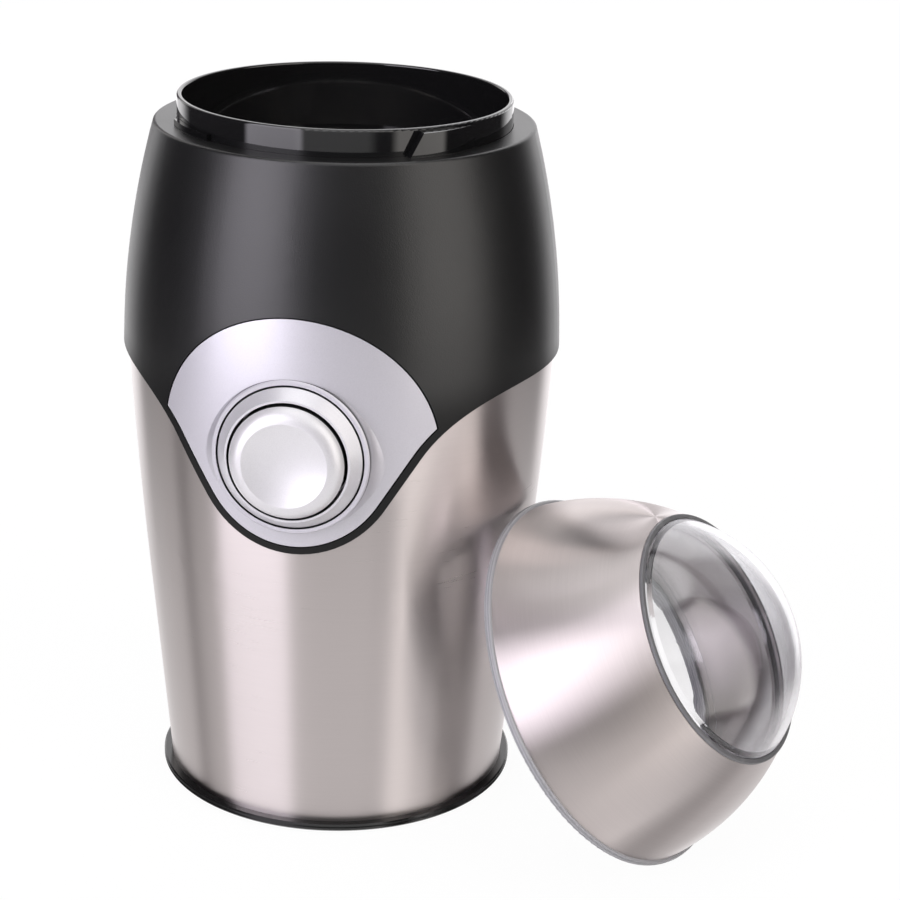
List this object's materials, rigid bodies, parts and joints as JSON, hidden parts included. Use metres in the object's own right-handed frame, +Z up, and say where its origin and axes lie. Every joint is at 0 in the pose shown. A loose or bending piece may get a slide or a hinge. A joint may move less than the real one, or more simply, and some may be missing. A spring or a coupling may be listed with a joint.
{
  "type": "electric spice grinder",
  "caption": "Electric blade grinder for spices: black barrel body in a brushed steel sleeve, one push button, steel lid with clear dome leaning beside it.",
  "frame": {"origin": "on the body's vertical axis, in the plane that the foot ring stands on", "axes": "+Z up along the body's axis, -Y towards the push button, +X towards the side that the lid leans on"},
  "size_m": [0.1612, 0.1132, 0.1631],
  "materials": {
    "satin_black": "fine satin texture",
    "gloss_black": "polished moulding",
    "base_black": "semi-gloss moulding",
    "moulded_black": "plain moulded nylon",
    "fan_plastic": "natural moulded nylon",
    "switch_grey": "moulded switch case",
    "switch_red": "moulded plunger",
    "brushed_steel": "circumferential brushing",
    "lid_steel": "spun and brushed round the axis",
    "bowl_steel": "polished pressing",
    "blade_steel": "ground edges",
    "shaft_steel": "turned and ground",
    "zinc_steel": "zinc plated",
    "spring_steel": "drawn wire",
    "lamination_iron": "stacked laminations",
    "cast_aluminium": "die cast",
    "panel_silver": "silver lacquer on a moulding",
    "button_silver": "silver lacquer on a moulding",
    "copper_wire": "enamelled copper winding",
    "commutator_copper": "copper bars",
    "bronze": "sintered bronze",
    "brass_sheet": "folded brass sheet",
    "carbon": "pressed carbon",
    "soft_rubber": "moulded rubber",
    "foot_rubber": "moulded rubber",
    "grey_gasket": "grey moulded gasket",
    "clear_plastic": "clear polished moulding"
  },
  "bodies": {
    "housing": {"main_housing": "satin_black", "steel_sleeve": "brushed_steel", "control_panel": "panel_silver", "button_bezel": "panel_silver", "button_guide": "moulded_black", "switch_body": "switch_grey", "button_spring": "spring_steel", "guide_screws": "zinc_steel", "chamber_collar": "gloss_black", "grinding_bowl": "bowl_steel", "bowl_seal": "soft_rubber", "bowl_carrier": "moulded_black", "shaft_seal": "soft_rubber", "carrier_screws": "zinc_steel", "interlock_spring": "spring_steel", "interlock_switch": "switch_grey", "stator_core": "lamination_iron", "field_coils": "copper_wire", "upper_bracket": "cast_aluminium", "lower_bracket": "moulded_black", "upper_bush": "bronze", "lower_bush": "bronze", "motor_bolts": "zinc_steel", "motor_nuts": "zinc_steel", "motor_mounts": "soft_rubber", "mount_screws": "zinc_steel", "brush_holders": "brass_sheet", "carbon_brushes": "carbon", "brush_springs": "spring_steel", "thrust_washers": "bronze", "base_ring": "base_black", "base_plate": "moulded_black", "foot_ring": "foot_rubber", "base_screws": "zinc_steel", "cord_grommet": "foot_rubber"},
    "rotor": {"motor_shaft": "shaft_steel", "armature_core": "lamination_iron", "armature_windings": "copper_wire", "commutator": "commutator_copper", "cooling_fan": "fan_plastic", "grinding_blade": "blade_steel", "blade_nut": "shaft_steel"},
    "button": {"push_button": "button_silver"},
    "switch_plunger": {"switch_plunger": "switch_red"},
    "interlock_pin": {"interlock_pin": "moulded_black"},
    "interlock_plunger": {"interlock_plunger": "switch_red"},
    "lid": {"lid_cover": "lid_steel", "lid_liner": "clear_plastic", "dome_ring": "grey_gasket"}
  },
  "joints": [
    {"name": "rotor_spin", "type": "hinge", "parent": "housing", "child": "rotor", "pos_m": [0, 0, 0.1], "axis": [0, 0, 1], "continuous": true},
    {"name": "button_press", "type": "slide", "parent": "housing", "child": "button", "axis": [0, 1, 0], "range_m": [0, 0.003], "stiffness_N_per_m": 600, "springref_m": -0.003, "deforming": ["button_spring"]},
    {"name": "switch_press", "type": "slide", "parent": "housing", "child": "switch_plunger", "axis": [0, 1, 0], "range_m": [0, 0.003]},
    {"name": "interlock_press", "type": "slide", "parent": "housing", "child": "interlock_pin", "axis": [0, 0, -1], "range_m": [0, 0.0022], "stiffness_N_per_m": 400, "springref_m": -0.002, "deforming": ["interlock_spring"]},
    {"name": "interlock_switch_press", "type": "slide", "parent": "housing", "child": "interlock_plunger", "axis": [0, 0, -1], "range_m": [0, 0.0022]},
    {"name": "lid_lift", "type": "slide", "parent": "housing", "child": "lid", "axis": [0.8035, -0.2533, 0.5388], "range_m": [0, 0.12]}
  ],
  "couplings": [
    {"joint": "switch_press", "follows": "button_press", "ratio": 1},
    {"joint": "interlock_switch_press", "follows": "interlock_press", "ratio": 1}
  ]
}
